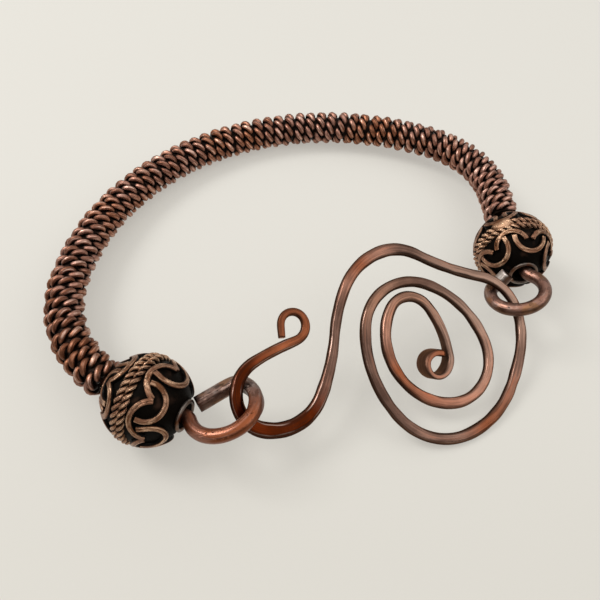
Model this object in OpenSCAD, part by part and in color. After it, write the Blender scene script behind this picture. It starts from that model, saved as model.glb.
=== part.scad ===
// Wire bracelet in millimetres, +Z up, lying on a table as it is worn closed:
// a wrapped ring with a bead and an eye at each end, and a hammered spiral hook.

/* [Core wire] */
// Diameter of the heavy core wire
core_d = 1.9; // [1.6:0.1:2]
// Radius of the left eye, to the middle of its wire
eye_left_r = 4.4; // [4.2:0.1:4.6]
// Radius of the right eye, to the middle of its wire
eye_right_r = 3.9; // [3.8:0.1:4.1]
// Distance from a bead's centre to the bend of its eye
eye_lead = 6.1; // [6.1:0.1:6.4]

/* [Coil] */
// Outer diameter of the wrapped coil
coil_d = 5.9; // [5.2:0.1:6.1]

/* [Beads] */
// Diameter of a bead's body under its wires
bead_d = 11; // [10.4:0.1:11.2]
// Diameter of the hole through a bead
bead_hole_d = 3; // [2.9:0.1:3.1]
// Thickness of each rope round a bead's middle
rope_d = 1.05; // [0.9:0.05:1.2]
// Thickness of the scroll wires
scroll_d = 0.68; // [0.5:0.02:0.8]
// Angular radius of a scroll on the bead
scroll_reach = 23; // [20:1:24]
// Scrolls of each kind round each half of a bead
scroll_count = 6; // [5:1:6]

/* [Lie on the table] */
// Height of the bead centres
bead_height = 6.2; // [6.2:0.1:6.4]
// Slope of the ring, down to the back
ring_slope = 4.14; // [3.9:0.02:4.14]
// Slope of the clasp, down to the front
clasp_slope = 24; // [22:0.5:24]
// Height of the clasp's middle
clasp_height = 7.1; // [7:0.1:7.4]

/* [Hidden] */
$fn = 48;

// Columns of the route and clasp tables
LENGTH = 0;
TURN = 1;
WIDTH = 2;
THICK = 3;
RISE = 4;

// Route of the core from the left bead's centre to the right one's, seen from
// above: length of each run, and the angle it turns by
ROUTE = [
    [3.2, 0],
    [3.1, -9.1],
    [19.7, -57.5],
    [81.4, -114.6],
    [17.8, -63.5],
    [6.9, 0],
    [6.2, 0],
];
route_start = [-30.07, 0, 127.8];
// Runs of the route that the coil covers
coil_first = 2;
coil_last = 5;

// The right eye's lead bends off the route inside its bead, and the bead
// stands halfway: turn and rise
right_bend = [7, 6];

// Clasp wire from the hook's tip to the heart of the spiral, flat in its own
// plane: length, turn, and at the run's end the width, thickness and rise
CLASP = [
    [1.8, 0.0, 1.05, 1.00, 0.0],
    [4.7, -156.7, 1.15, 1.00, 0.0],
    [3.7, -95.5, 1.35, 1.00, 0.0],
    [6.9, 11.3, 1.55, 1.10, 1.0],
    [5.5, 65.1, 1.75, 1.00, 0.8],
    [5.4, 71.0, 2.20, 0.90, 0.0],
    [9.6, 77.1, 1.80, 1.05, 0.0],
    [8.6, 16.7, 1.45, 1.15, 0.0],
    [7.1, -16.7, 1.60, 1.15, 0.0],
    [8.2, -45.2, 1.90, 0.95, 0.0],
    [5.6, -45.6, 1.65, 1.00, 0.0],
    [10.4, 16.7, 1.55, 1.05, 0.0],
    [8.1, -71.5, 1.55, 1.05, 0.0],
    [6.3, -28.7, 1.65, 1.00, 0.0],
    [5.0, -9.1, 1.60, 1.00, 0.0],
    [10.8, -44.4, 1.65, 1.05, 0.2],
    [11.0, -67.7, 1.50, 1.10, 0.25],
    [13.3, -48.3, 1.60, 1.05, 0.0],
    [13.1, -99.3, 1.55, 1.10, 0.0],
    [12.2, -54.6, 1.50, 1.05, 0.0],
    [12.6, -107.7, 1.60, 1.05, 0.0],
    [8.7, -56.4, 1.55, 1.05, 0.0],
    [10.1, -63.3, 1.65, 1.05, 0.0],
    [6.7, -115.1, 1.50, 1.05, 0.0],
    [7.4, -32.8, 0.95, 1.60, 0.1],
    [3.4, -57.5, 0.80, 2.10, 0.2],
    [3.4, -129.4, 0.75, 2.30, 0.2],
    [3.4, -110.8, 0.85, 2.20, 0.2],
];
clasp_start = [-13.35, 5.19, 74.4];
// The last runs stand up on edge, and the strip leans by this much a millimetre of height
heart_runs = 4;
heart_lean = [0.24, -0.36];
tip_width = 0.95;
clasp_middle = [1.65, -6.17];
clasp_yaw = -2.6;
clasp_roll = 1.45;
// Longest step and largest turn between two sections of the clasp
clasp_step = 1.4;
clasp_step_turn = 15;

// The ring's middle is moved to the origin
centre = [0.75, 13.3];

core_hole_d = core_d + 0.14;
elbow_d = core_d + 0.16;
tail_bend_r = 1.7;
tail_ball_d = core_d + 0.06;
// Wires that meet in a tail's ball stop this far short of its middle
shy = 0.1;
lap = 0.2;
scroll_seat = bead_d / 2 + 0.25;
rope_seat = bead_d / 2 + 0.15;
rope_gap = rope_d * 0.95;
collar_r = bead_hole_d / 2 + 0.4;

// State [x, y, heading] after a run from another state
function moved(at, run) =
    run[TURN] == 0
    ? [at[0] + run[LENGTH] * cos(at[2]), at[1] + run[LENGTH] * sin(at[2]), at[2]]
    : let (r = run_radius(run), h = at[2] + run[TURN])
      [at[0] + r * (sin(h) - sin(at[2])), at[1] - r * (cos(h) - cos(at[2])), h];

// Every other run is a hair thicker, so that laps close cleanly
function step(n) = n % 2 * 0.02;

// Radius of a turning run, negative to the right
function run_radius(run) = run[LENGTH] / (run[TURN] * PI / 180);

// State at the start of a table's run
function state(table, n, start) =
    n == 0 ? start : moved(state(table, n - 1, start), table[n - 1]);

// Puts a flat section along one run of the route, which bends to the right or
// not at all, and past its end by a lap into the next run
module run_solid(n, lap) {
    at = state(ROUTE, n, route_start);
    run = ROUTE[n];
    translate([at[0], at[1], 0])
        rotate([0, 0, at[2]])
            if (run[TURN] == 0) {
                rotate([90, 0, 90]) linear_extrude(run[LENGTH] + lap) children();
            } else {
                r = -run_radius(run);
                sweep = (run[LENGTH] + lap) / r * 180 / PI;
                translate([0, -r, 0])
                    rotate([0, 0, 90 - sweep])
                        rotate_extrude(angle = sweep) translate([r, 0]) children();
            }
}

// Lays the ring's plane on the table
module on_ring() {
    translate([-centre[0], -centre[1], bead_height])
        rotate([-ring_slope, 0, 0]) children();
}

// Lays the clasp's plane between the two eyes
module on_clasp() {
    translate([clasp_middle[0] - centre[0], clasp_middle[1] - centre[1], clasp_height])
        rotate([0, clasp_roll, clasp_yaw])
            rotate([clasp_slope, 0, 0]) children();
}

// Looks outward along the hole of the left or right bead, part of the way
// round the bend of the right lead
module at_left() {
    translate([route_start[0], route_start[1], 0])
        rotate([0, 0, route_start[2] - 180]) children();
}

module at_right(share) {
    end = state(ROUTE, len(ROUTE), route_start);
    translate([end[0], end[1], 0])
        rotate([0, -right_bend[1] * share, end[2] + right_bend[0] * share]) children();
}

// Turn of a wire bent to a radius, over the length that it stops short by
function shy_turn(r) = shy / r * 180 / PI;

// Bend at the end of an eye's round part and the straight after it, which rises
// out of the eye's plane to its cut end
module tail(turn, length, rise, side) {
    r = tail_bend_r;
    rotate([0, 90, 0]) sphere(d = tail_ball_d);
    translate([0, side * r, 0])
        rotate([0, 0, shy_turn(r) + (side > 0 ? -90 : 90 - turn)])
            rotate_extrude(angle = turn - 2 * shy_turn(r)) translate([r, 0]) circle(d = core_d);
    translate([r * sin(turn), side * r * (1 - cos(turn)), 0])
        rotate([0, 90 - rise, side * turn]) {
            sphere(d = tail_ball_d);
            translate([0, 0, shy]) cylinder(h = length - shy, d = core_d);
        }
}

// Straight lead out of a bead and the open eye at its end, with its tail's turn,
// length and rise. Side is 1 for an eye that closes anticlockwise, -1 for clockwise.
module eye(r, rise, roll, aim, sweep, side, tail_turn, tail_length, tail_rise) {
    translate([-lap, 0, 0])
        rotate([0, 90, 0]) cylinder(h = eye_lead + lap, d = core_d + step(1));
    translate([eye_lead, 0, 0]) {
        rotate([0, 90, 0]) sphere(d = elbow_d);
        rotate([0, -rise, 0])
            rotate([roll, 0, 0])
                translate([r * cos(aim), r * sin(aim), 0]) {
                    rotate([0, 0, aim + 180 + (side < 0 ? shy_turn(r) - sweep : 0)])
                        rotate_extrude(angle = sweep - shy_turn(r))
                            translate([r, 0]) circle(d = core_d);
                    rotate([0, 0, aim + 180 + side * sweep])
                        translate([r, 0, 0])
                            rotate([0, 0, side * 90])
                                tail(tail_turn, tail_length, tail_rise, side);
                }
    }
}

module core_wire() {
    color("peru")
        on_ring() {
            for (n = [0:len(ROUTE) - 1])
                run_solid(n, n < len(ROUTE) - 1 ? lap : 0) circle(d = core_d + step(n));
            at_left() eye(eye_left_r, 19, -4, 34, 231, 1, 61, 4.75, 0);
            at_right(1) {
                rotate([0, 90, 0]) sphere(d = elbow_d);
                eye(eye_right_r, 4.5, 15, -44, 251.4, -1, 59, 2.3, 37);
            }
        }
}

module wire_coil() {
    color("sienna")
        on_ring()
            for (n = [coil_first:coil_last])
                run_solid(n, n < coil_last ? lap : 0)
                    difference() {
                        circle(d = coil_d + step(n));
                        circle(d = core_hole_d - step(n));
                    }
}

// Half a circle of scroll wire on the bead, centred at a longitude and
// latitude, and open toward the pole or the middle
module scroll(longitude, latitude, start) {
    rotate([-longitude, 0, 0])
        rotate([0, latitude, 0])
            translate([0, 0, scroll_seat * cos(scroll_reach)])
                rotate([0, 0, start])
                    rotate_extrude(angle = 180)
                        translate([scroll_seat * sin(scroll_reach), 0])
                            circle(d = scroll_d);
}

// Outline that a bead is turned from: body, two ropes and two collars, less the
// hole. The ropes lie a little to one side of its middle.
module bead_outline(shift) {
    difference() {
        union() {
            circle(d = bead_d);
            for (s = [-1, 1]) {
                y = shift + s * rope_gap / 2;
                translate([sqrt(rope_seat * rope_seat - y * y), y]) circle(d = rope_d);
                translate([collar_r, s * (bead_d / 2 - 0.1)]) circle(d = scroll_d);
            }
        }
        translate([-bead_d, -bead_d]) square([bead_d + bead_hole_d / 2, 2 * bead_d]);
    }
}

// Two rows of scrolls on one half of a bead
module scrolls(phase) {
    pitch = 360 / scroll_count;
    for (i = [0:scroll_count - 1]) {
        scroll(phase + i * pitch, 36, 90);
        scroll(phase + (i + 0.5) * pitch, 25, -90);
    }
}

// A bead about the X axis
module bead(phase, shift) {
    rotate([0, 90, 0]) rotate_extrude() bead_outline(shift);
    scrolls(phase);
    mirror([1, 0, 0]) scrolls(phase);
}

module bead_left() {
    color("saddlebrown") on_ring() at_left() bead(8, -0.72);
}

module bead_right() {
    color("saddlebrown") on_ring() at_right(0.5) bead(-27, 0.22);
}

// Rounded oblong outline of the hammered wire, anticlockwise
function outline(w, t) =
    let (c = 0.35 * min(w, t))
    [for (q = [[1, 1, 0], [-1, 1, 90], [-1, -1, 180], [1, -1, 270]], a = [0, 45, 90])
        [q[0] * (w / 2 - c) + c * cos(q[2] + a), q[1] * (t / 2 - c) + c * sin(q[2] + a)]];

// Values at a share of the way along a clasp run
function blend(column, n, share, first) =
    let (before = n == 0 ? first : CLASP[n - 1][column])
    before + (CLASP[n][column] - before) * share;

// One section's points, where the wire has reached a share of a run
function section(n, share) =
    let (
        run = CLASP[n],
        part = [run[LENGTH] * share, run[TURN] * share],
        at = moved(state(CLASP, n, clasp_start), part),
        w = blend(WIDTH, n, share, tip_width),
        t = blend(THICK, n, share, tip_width),
        z = blend(RISE, n, share, 0),
        before_heart = len(CLASP) - heart_runs,
        lean = heart_lean * (n < before_heart ? 0 : n == before_heart ? share : 1)
    )
    [for (p = outline(w, t)) [
        at[0] - p[0] * sin(at[2]) + p[1] * lean[0],
        at[1] + p[0] * cos(at[2]) + p[1] * lean[1],
        z + p[1],
    ]];

function run_steps(run) =
    ceil(max(run[LENGTH] / clasp_step, abs(run[TURN]) / clasp_step_turn));

module clasp() {
    sections = concat(
        [section(0, 0)],
        [for (n = [0:len(CLASP) - 1], i = [1:run_steps(CLASP[n])])
            section(n, i / run_steps(CLASP[n]))]
    );
    m = len(sections[0]);
    last = len(sections) - 1;
    sides = [for (s = [0:last - 1], k = [0:m - 1])
        let (a = s * m + k, b = s * m + (k + 1) % m)
        each [[a, b, a + m], [b, b + m, a + m]]];
    ends = [[for (k = [m - 1:-1:0]) k], [for (k = [0:m - 1]) last * m + k]];
    color("chocolate")
        on_clasp()
            polyhedron(points = [for (s = sections) each s], faces = concat(sides, ends));
}

core_wire();
wire_coil();
bead_left();
bead_right();
clasp();
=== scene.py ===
import math

import bpy
import numpy as np
from mathutils import Matrix, Vector, noise


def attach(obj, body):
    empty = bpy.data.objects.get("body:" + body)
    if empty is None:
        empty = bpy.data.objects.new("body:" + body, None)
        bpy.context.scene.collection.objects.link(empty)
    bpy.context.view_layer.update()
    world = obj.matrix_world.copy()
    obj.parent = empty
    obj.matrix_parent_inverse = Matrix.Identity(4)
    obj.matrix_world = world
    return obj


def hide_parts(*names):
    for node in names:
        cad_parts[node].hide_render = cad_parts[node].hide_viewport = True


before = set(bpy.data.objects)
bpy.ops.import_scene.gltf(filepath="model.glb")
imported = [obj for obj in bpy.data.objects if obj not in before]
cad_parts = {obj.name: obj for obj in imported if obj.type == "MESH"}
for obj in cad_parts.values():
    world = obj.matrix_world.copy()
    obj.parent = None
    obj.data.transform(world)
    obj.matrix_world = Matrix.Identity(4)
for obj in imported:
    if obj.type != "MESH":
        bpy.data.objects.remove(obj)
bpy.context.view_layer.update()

bl_info = {
    "name": "Wire Bracelet",
    "version": (1, 0, 0),
    "blender": (4, 5, 0),
    "location": "View3D > Sidebar > Bracelet",
    "description": "Builds a wrapped wire bracelet with filigree beads and a hammered spiral hook",
    "category": "Object",
}

MM = 0.001
TAU = 2 * math.pi

# Columns of the route and clasp tables
LENGTH, TURN = 0, 1

# Route of the core wire from the left bead's centre to the right one's, in
# millimetres and degrees: length of each run, and the angle it turns by
ROUTE = (
    (3.2, 0),
    (3.1, -9.1),
    (19.7, -57.5),
    (81.4, -114.6),
    (17.8, -63.5),
    (6.9, 0),
    (6.2, 0),
)
ROUTE_START = (-30.07, 0, 127.8)
COIL_FROM = 6.45
COIL_TO = 132.1
COIL_SPACING = 0.25
# The coil's dark inner tube is this much shorter at each end
INSIDE_SHORTER = 0.6

# Clasp wire from the hook's tip to the heart of the spiral: length, turn, and
# at the run's end the width, thickness and rise out of its plane
CLASP = (
    (1.8, 0, 1.05, 1.00, 0),
    (4.7, -156.7, 1.15, 1.00, 0),
    (3.7, -95.5, 1.35, 1.00, 0),
    (6.9, 11.3, 1.55, 1.10, 1.0),
    (5.5, 65.1, 1.75, 1.00, 0.8),
    (5.4, 71.0, 2.20, 0.90, 0),
    (9.6, 77.1, 1.80, 1.05, 0),
    (8.6, 16.7, 1.45, 1.15, 0),
    (7.1, -16.7, 1.60, 1.15, 0),
    (8.2, -45.2, 1.90, 0.95, 0),
    (5.6, -45.6, 1.65, 1.00, 0),
    (10.4, 16.7, 1.55, 1.05, 0),
    (8.1, -71.5, 1.55, 1.05, 0.06),
    (6.3, -28.7, 1.65, 1.00, 0.1),
    (5.0, -9.1, 1.60, 1.00, 0),
    (10.8, -44.4, 1.65, 1.05, 0.2),
    (11.0, -67.7, 1.50, 1.10, 0.25),
    (13.3, -48.3, 1.60, 1.05, 0),
    (13.1, -99.3, 1.55, 1.10, 0),
    (12.2, -54.6, 1.50, 1.05, 0),
    (12.6, -107.7, 1.60, 1.05, 0),
    (8.7, -56.4, 1.55, 1.05, 0),
    (10.1, -63.3, 1.65, 1.05, 0),
    (6.7, -115.1, 1.50, 1.05, 0),
    (7.4, -32.8, 0.95, 1.60, 0.1),
    (3.4, -57.5, 0.80, 2.10, 0.2),
    (3.65, -129.4, 0.88, 2.25, 0.2),
    (3.7, -110.8, 1.00, 2.15, 0.2),
)
CLASP_START = (-13.35, 5.19, 74.4)
CLASP_SPACING = 0.22
# Width and thickness at the very tip
TIP = 0.95
# Shares of the wire's width and thickness that the bevel of each corner takes
BEVEL_WIDE = 0.22
BEVEL_DEEP = 0.42
# Over its last HEART millimetres the strip stands up and leans over by HEART_LEAN, which
# comes on within HEART_LEAN_OVER of them
HEART = 17.6
HEART_LEAN_OVER = 7.4
HEART_LEAN = (0.14, -0.31)
# Tones of the clasp by their share of about its length
CLASP_LENGTH = 213.0
CLASP_TONES = (
    (0.00, "red"),
    (0.06, "red"),
    (0.085, "deep"),
    (0.165, "deep"),
    (0.195, "dusk"),
    (0.235, "smoke"),
    (0.25, "pink"),
    (0.268, "red"),
    (0.28, "pink"),
    (0.30, "smoke"),
    (0.36, "grey"),
    (0.40, "grey"),
    (0.44, "dusk"),
    (0.49, "red"),
    (0.51, "dusk"),
    (0.545, "dusk"),
    (0.57, "smoke"),
    (0.61, "smoke"),
    (0.635, "brown"),
    (0.68, "smoke"),
    (0.72, "grey"),
    (0.78, "pink"),
    (0.84, "red"),
    (0.86, "pink"),
    (0.90, "brown"),
    (0.95, "grey"),
    (1.00, "red"),
)

# Eyes of the core wire, in millimetres and degrees: lead out of the bead, round
# part, and the tail's turn, length and rise
CORE_SPACING = 0.22
LEAD = 6.1
TAIL_BEND = 1.7
EYE_LEFT = {
    "radius": 4.4,
    "rise": 19.0,
    "roll": -4.0,
    "aim": 34.0,
    "sweep": 231.0,
    "side": 1,
    "tail": (61.0, 4.75, 0.0),
}
EYE_RIGHT = {
    "radius": 3.9,
    "rise": 4.5,
    "roll": 15.0,
    "aim": -44.0,
    "sweep": 251.4,
    "side": -1,
    "tail": (59.0, 2.3, 37.0),
}

# Scrolls on the outer half of each bead, in degrees on the ball: longitude and
# latitude of the middle, reach, how far each arm goes round, and the way the
# mouth faces, 1 to the pole and -1 to the ropes. The inner half mirrors them.
SCROLLS_LEFT = (
    (-53, 40, 24, 88, 1),
    (10, 40.5, 25.5, 84, 1),
    (-28, 28, 22.5, 98, -1),
    (37, 28.5, 24, 107, -1),
    (-87, 40, 18.5, 126, -1),
    (-114, 40, 23, 84, 1),
    (72, 40, 24, 86, 1),
    (130, 40, 24, 82, 1),
    (188, 41, 23, 88, 1),
    (100, 28, 22.5, 100, -1),
    (158, 29, 22, 104, -1),
    (-143, 28, 22.5, 98, -1),
)
SCROLLS_RIGHT = (
    (-28, 36, 23.5, 82, 1),
    (-90, 36.5, 23.5, 78, 1),
    (37, 36, 23.5, 82, 1),
    (-61, 25.5, 23.8, 102, -1),
    (6.5, 24, 24, 92, -1),
    (72, 31, 23, 100, -1),
    (96, 37, 23, 84, 1),
    (154, 36, 24, 80, 1),
    (212, 37, 23, 86, 1),
    (126, 26, 22.5, 100, -1),
    (182, 25, 23, 96, -1),
    (238, 26, 22.5, 102, -1),
)
# Each bead: name, scrolls, shift of the ropes, seed of its lumps, worn patch and
# twists in a rope. A patch has a longitude, latitude, half width, half height
# and how far it stands out.
BEADS = (
    ("bead_left", SCROLLS_LEFT, -0.72, 1.0, (60, -20, 1, 1, 0.0), 17),
    ("bead_right", SCROLLS_RIGHT, 0.22, 9.0, (-30, -5, 15, 10, 0.58), 18),
)
BEAD_HOLE = 1.5
# How far the ropes lie to each side of their shared middle, how far the ropes' and the
# scrolls' middles stand out from the ball, how deep the collars sit, and their wire
ROPE_APART = 0.5
ROPE_PROUD = 0.12
SCROLL_PROUD = 0.22
COLLAR_SUNK = 0.1
COLLAR_WIRE = 0.5

# Where the ring and the clasp lie, in millimetres, and their tilts in degrees: the
# ring's about X, and the clasp's about Z, Y and X
RING_AT = (-0.75, -13.3, 6.2)
RING_TILT = -4.14
CLASP_AT = (0.9, -19.47, 7.1)
CLASP_TILTS = (-2.6, 1.45, 24.0)
# Degrees that the core wire's end bends by in the right bead, aside and down
RIGHT_BEND = (7, -6)

# How fine the wires are: sides of each, stations in a twist of a strand, and points
# along a scroll, round a rope or a collar, and in each corner of the clasp wire
STRAND_SIDES = 10
SCROLL_SIDES = 22
CORE_SIDES = 20
TUBE_SIDES = 24
COIL_STATIONS = 12
ROPE_STATIONS = 14
SCROLL_POINTS = 33
ROPE_POINTS = 160
COLLAR_POINTS = 48
CORNER_POINTS = 7

# The stage, in metres: the way to its front, half the table's width, and each
# lamp's name, place, width and share of the key light's power
FRONT = (-0.54, -0.84)
TABLE_HALF = 1.5
LAMPS = (
    ("key", (-0.32, 0.30, 0.50), 0.30, 1.0),
    ("fill", (0.40, -0.25, 0.45), 0.5, 0.25),
)


# Places of the parts, in millimetres


def turned(axis, degrees):
    return Matrix.Rotation(math.radians(degrees), 4, axis)


def shifted(x, y, z):
    return Matrix.Translation((x, y, z))


def moved(at, run):
    """State (x, y, heading) after a run from another state."""
    x, y, heading = at
    ahead = math.radians(heading)
    if run[TURN] == 0:
        return (x + run[LENGTH] * math.cos(ahead), y + run[LENGTH] * math.sin(ahead), heading)
    radius = run[LENGTH] / math.radians(run[TURN])
    after = math.radians(heading + run[TURN])
    x += radius * (math.sin(after) - math.sin(ahead))
    y -= radius * (math.cos(after) - math.cos(ahead))
    return (x, y, heading + run[TURN])


def on_ring():
    """Lays the ring's plane on the table."""
    return shifted(*RING_AT) @ turned("X", RING_TILT)


def on_clasp():
    """Lays the clasp's plane between the two eyes."""
    z, y, x = CLASP_TILTS
    return shifted(*CLASP_AT) @ (turned("Z", z) @ turned("Y", y) @ turned("X", x))


def at_left():
    """Looks outward along the hole of the left bead."""
    x, y, heading = ROUTE_START
    return on_ring() @ shifted(x, y, 0) @ turned("Z", heading - 180)


def at_right(share):
    """Looks outward along the hole of the right bead, part way round its lead's bend."""
    at = ROUTE_START
    for run in ROUTE:
        at = moved(at, run)
    x, y, heading = at
    aside, down = RIGHT_BEND
    return on_ring() @ shifted(x, y, 0) @ turned("Z", heading + aside * share) @ turned("Y", down * share)


def facing(matrix, way=(0, 0, 1)):
    """Where a direction points once a matrix has turned it."""
    return matrix.to_3x3() @ Vector(way)


def carried(matrix, points):
    """Points through a 4 by 4 matrix."""
    m = np.array(matrix)
    return points @ m[:3, :3].T + m[:3, 3]


def walk(table, start, spacing):
    """Stations along a table's runs: rows of x, y, heading, distance, and the blended columns
    after TURN, each starting from the first run's own."""
    rows = []
    at, gone = start, 0.0
    before = np.array(table[0][2:], float)
    for run in table:
        after = np.array(run[2:], float)
        steps = max(2, math.ceil(run[LENGTH] / spacing))
        for i in range(1 if rows else 0, steps + 1):
            share = i / steps
            place = moved(at, (run[LENGTH] * share, run[TURN] * share))
            rows.append((*place, gone + run[LENGTH] * share, *(before + (after - before) * share)))
        at = moved(at, run)
        gone += run[LENGTH]
        before = after
    return np.array(rows)


def ring_route(spacing):
    """How far along the core wire's route each station is, and where it lies."""
    rows = walk(ROUTE, ROUTE_START, spacing)
    return rows[:, 3], carried(on_ring(), np.stack([rows[:, 0], rows[:, 1], 0 * rows[:, 0]], -1))


def softened(values, sigma):
    """Rows eased by a bell of sigma stations; both ends stay."""
    reach = int(3 * sigma) + 1
    bell = np.exp(-0.5 * (np.arange(-reach, reach + 1) / sigma) ** 2)
    bell /= bell.sum()
    columns = []
    for column in values.T:
        start = 2 * column[0] - column[reach:0:-1]
        end = 2 * column[-1] - column[-2 : -reach - 2 : -1]
        columns.append(np.convolve(np.concatenate([start, column, end]), bell, "valid"))
    return np.array(columns).T


def waver(at, size, seed):
    """Smooth wandering between -1 and 1 along a line, the same each run."""
    return np.array([noise.noise(Vector((a / size, seed * 7.3, seed * 3.1))) for a in at]) * 2


def gone_along(centres):
    """How far along a line each of its points is."""
    return np.concatenate([[0], np.cumsum(np.linalg.norm(np.diff(centres, axis=0), axis=1))])


def directions(centres):
    step = np.gradient(centres, axis=0)
    return step / np.linalg.norm(step, axis=1)[:, None]


def squared_to(ups, along):
    """Ups made square to the way the wire runs, and the sides that go with them."""
    ups = ups - (ups * along).sum(1)[:, None] * along
    ups = ups / np.linalg.norm(ups, axis=1)[:, None]
    return np.cross(ups, along), ups


# Meshes


def full_turn(count):
    """Angles all round a wire or a hole."""
    return np.linspace(0, TAU, count, endpoint=False)


def linked(name, data):
    """A new object in the scene."""
    item = bpy.data.objects.new(name, data)
    bpy.context.scene.collection.objects.link(item)
    return item


def placed(name, meshes, node):
    """A finished piece of one or more meshes: it rides on the root body and stands for its
    CAD node."""
    if not all(len(mesh.polygons) for mesh in meshes):
        raise RuntimeError(f"a mesh of {name} has no faces")
    parts = [linked(name, mesh) for mesh in meshes]
    piece = parts[0]
    if len(parts) > 1:
        chosen = {"active_object": piece, "object": piece, "selected_editable_objects": parts}
        with bpy.context.temp_override(**chosen):
            bpy.ops.object.join()
    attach(piece, "root")
    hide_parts(node)


def marked(mesh, label, values, kind="FLOAT", part="value"):
    """Keeps numbers on a mesh's points."""
    attribute = mesh.attributes.new(label, kind, "POINT")
    attribute.data.foreach_set(part, np.asarray(values, np.float32).ravel())


def swept(name, centres, sides, ups, outlines, marks, material):
    """A closed wire: outlines (stations, points, 2) across the sides and ups of the stations.
    marks are named numbers that fit (stations, points). UV runs along and round."""
    count, around = outlines.shape[:2]
    points = centres[:, None] + outlines[..., :1] * sides[:, None] + outlines[..., 1:] * ups[:, None]
    grid = np.arange(count * around).reshape(count, around)
    right = np.roll(grid, -1, 1)
    quads = np.stack([grid[:-1], right[:-1], right[1:], grid[1:]], -1).reshape(-1, 4)
    faces = [*quads.tolist(), grid[0, ::-1].tolist(), grid[-1].tolist()]
    mesh = bpy.data.meshes.new(name)
    mesh.from_pydata((points.reshape(-1, 3) * MM).tolist(), [], faces)
    gone = gone_along(centres)
    wrap = mesh.uv_layers.new(name="UVMap")
    corners = np.empty(len(mesh.loops), int)
    mesh.loops.foreach_get("vertex_index", corners)
    u = gone[corners // around] * 0.1
    v = (corners % around) / around
    body = quads.size
    at_seam = np.zeros(len(corners), bool)
    at_seam[:body] = np.tile([False, True, True, False], len(quads)) & (v[:body] == 0)
    v = np.where(at_seam, 1.0, v)
    wrap.data.foreach_set("uv", np.stack([u, v], -1).astype(np.float32).ravel())
    way = outlines / np.linalg.norm(outlines, axis=-1)[..., None]
    way = np.concatenate([way, 0 * way[..., :1]], -1)
    marked(mesh, "round", way, "FLOAT_VECTOR", "vector")
    for label, values in {**marks, "along": gone[:, None]}.items():
        marked(mesh, label, np.broadcast_to(values, (count, around)))
    mesh.polygons.foreach_set("use_smooth", [True] * len(quads) + [False] * 2)
    mesh.materials.append(material)
    mesh.validate()
    mesh.update()
    return mesh


def round_outlines(reach, angles):
    return np.stack([reach * np.cos(angles), reach * np.sin(angles)], -1)


def chain_mesh(name, chains, closed=False):
    """Edges along lines of points in metres, for a node tree to make wires of."""
    verts, edges = [], []
    for chain in chains:
        start = len(verts)
        verts += [tuple(p) for p in chain]
        edges += [(start + i, start + i + 1) for i in range(len(chain) - 1)]
        if closed:
            edges.append((len(verts) - 1, start))
    mesh = bpy.data.meshes.new(name)
    mesh.from_pydata(verts, edges, [])
    return mesh


# Node graphs


class Value:
    """A socket of a node graph that Python's operators work on. Numbers go through Math nodes,
    and vectors through Vector Math."""

    def __init__(self, graph, socket):
        self.graph = graph
        self.socket = socket

    def is_vector(self):
        return self.socket.type == "VECTOR"

    def math(self, operation, *terms, flip=False):
        terms = (*terms[:1], self, *terms[1:]) if flip else (self, *terms)
        vector = any(isinstance(t, Value) and t.is_vector() for t in terms)
        kind = "ShaderNodeVectorMath" if vector else "ShaderNodeMath"
        return self.graph.add(kind, {"operation": operation}, dict(enumerate(terms)))

    def __add__(self, other):
        return self.math("ADD", other)

    __radd__ = __add__

    def __sub__(self, other):
        return self.math("SUBTRACT", other)

    def __rsub__(self, other):
        return self.math("SUBTRACT", other, flip=True)

    def __mul__(self, other):
        if self.is_vector() == (isinstance(other, Value) and other.is_vector()):
            return self.math("MULTIPLY", other)
        vector, number = (self, other) if self.is_vector() else (other, self)
        sockets = {0: vector, "Scale": number}
        return self.graph.add("ShaderNodeVectorMath", {"operation": "SCALE"}, sockets)

    __rmul__ = __mul__

    def __truediv__(self, other):
        return self.math("DIVIDE", other)

    def __rtruediv__(self, other):
        return self.math("DIVIDE", other, flip=True)

    def __pow__(self, other):
        return self.math("POWER", other)

    def of(self, name):
        """Another output of the same node."""
        return Value(self.graph, self.socket.node.outputs[name])

    def between(self, low, high):
        """Eased from 0 to 1 as this goes from low to high."""
        sockets = {"Value": self, 1: low, 2: high}
        return self.graph.add("ShaderNodeMapRange", {"interpolation_type": "SMOOTHSTEP"}, sockets)


class Graph:
    """A node tree that is filled by one method."""

    def __init__(self, tree):
        self.tree = tree

    def add(self, kind, settings=None, sockets=None, out=0):
        node = self.tree.nodes.new(kind)
        for name, value in (settings or {}).items():
            if name == "stops":
                self.set_stops(node.color_ramp, value)
            else:
                setattr(node, name, value)
        self.fill(node, sockets)
        return Value(self, node.outputs[out]) if len(node.outputs) else node

    def fill(self, node, sockets):
        """Links or sets some of a node's inputs."""
        for name, value in (sockets or {}).items():
            if isinstance(value, Value):
                self.tree.links.new(value.socket, node.inputs[name])
            else:
                node.inputs[name].default_value = value

    @staticmethod
    def set_stops(ramp, stops):
        while len(ramp.elements) < len(stops):
            ramp.elements.new(1.0)
        for element, (position, colour) in zip(ramp.elements, stops):
            element.position = position
            element.color = colour

    def vector(self, x, y, z):
        return self.add("ShaderNodeCombineXYZ", None, {0: x, 1: y, 2: z})

    def split(self, vector):
        """The vector's x, from whose node y and z come too."""
        return self.add("ShaderNodeSeparateXYZ", None, {0: vector})

    def noise(self, where, scale, detail=2.0):
        sockets = {"Vector": where, "Scale": scale, "Detail": detail}
        return self.add("ShaderNodeTexNoise", None, sockets)

    def mixed(self, share, low, high, blend="MIX"):
        """Two colours mixed by a share."""
        settings = {"data_type": "RGBA", "blend_type": blend}
        return self.add("ShaderNodeMix", settings, {0: share, 6: low, 7: high}, out=2)

    def toward_front(self, where):
        """How far a place or direction lies toward the front of the stage."""
        spot = self.split(where)
        return spot * FRONT[0] + spot.of("Y") * FRONT[1]


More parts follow.
